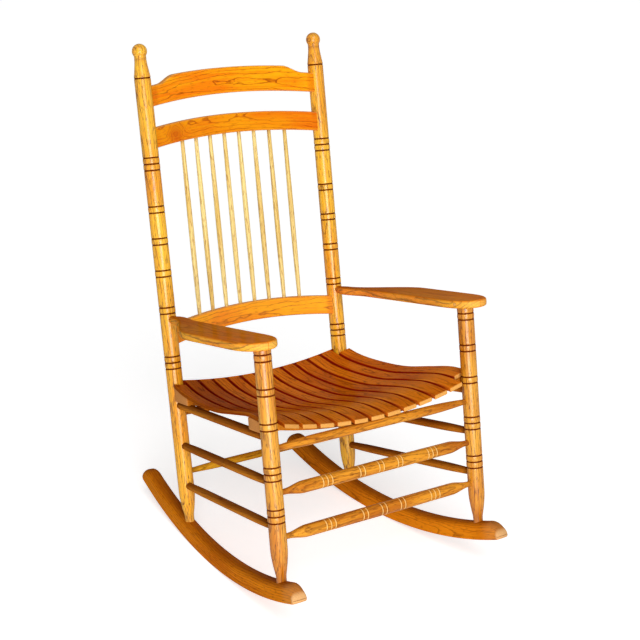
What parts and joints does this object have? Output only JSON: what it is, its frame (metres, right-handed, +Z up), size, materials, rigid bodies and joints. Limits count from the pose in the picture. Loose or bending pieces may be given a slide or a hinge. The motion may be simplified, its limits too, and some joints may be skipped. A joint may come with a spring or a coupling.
{
  "type": "rocking chair",
  "caption": "Wooden rocking chair with turned ringed posts, ball finials, bent back rails and spindles, paddle arms, a dished slat seat and curved rockers.",
  "frame": {"origin": "on the floor, under the middle of the chair's outline", "axes": "+X to the right as seen from the front, +Y to the back, +Z up; the chair leans as it balances on its rockers"},
  "size_m": [0.6676, 0.8026, 1.1405],
  "materials": {
    "golden_oak": "glossy varnish over turned oak",
    "amber_oak": "glossy varnish over flat-sawn oak",
    "brown_oak": "satin varnish over stained oak",
    "seat_oak": "glossy varnish over stained oak",
    "pale_oak": "satin varnish over pale oak"
  },
  "bodies": {
    "root": {"front_post_left": "golden_oak", "back_post_left": "golden_oak", "arm_left": "amber_oak", "rocker_left": "brown_oak", "side_seat_rail_left": "brown_oak", "upper_side_stretcher_left": "brown_oak", "lower_side_stretcher_left": "brown_oak", "front_post_right": "golden_oak", "back_post_right": "golden_oak", "arm_right": "amber_oak", "rocker_right": "brown_oak", "side_seat_rail_right": "brown_oak", "upper_side_stretcher_right": "brown_oak", "lower_side_stretcher_right": "brown_oak", "crest_rail": "amber_oak", "upper_spindle_rail": "amber_oak", "lower_spindle_rail": "amber_oak", "spindle_1": "pale_oak", "spindle_2": "pale_oak", "spindle_3": "pale_oak", "spindle_4": "pale_oak", "spindle_5": "pale_oak", "spindle_6": "pale_oak", "spindle_7": "pale_oak", "spindle_8": "pale_oak", "seat_slat_01": "seat_oak", "seat_slat_02": "seat_oak", "seat_slat_03": "seat_oak", "seat_slat_04": "seat_oak", "seat_slat_05": "seat_oak", "seat_slat_06": "seat_oak", "seat_slat_07": "seat_oak", "seat_slat_08": "seat_oak", "seat_slat_09": "seat_oak", "seat_slat_10": "seat_oak", "seat_slat_11": "seat_oak", "seat_slat_12": "seat_oak", "seat_slat_13": "seat_oak", "front_cleat": "brown_oak", "rear_cleat": "brown_oak", "front_seat_rail": "golden_oak", "rear_seat_rail": "brown_oak", "rear_stretcher": "brown_oak", "upper_front_stretcher": "golden_oak", "lower_front_stretcher": "golden_oak"}
  },
  "joints": []
}
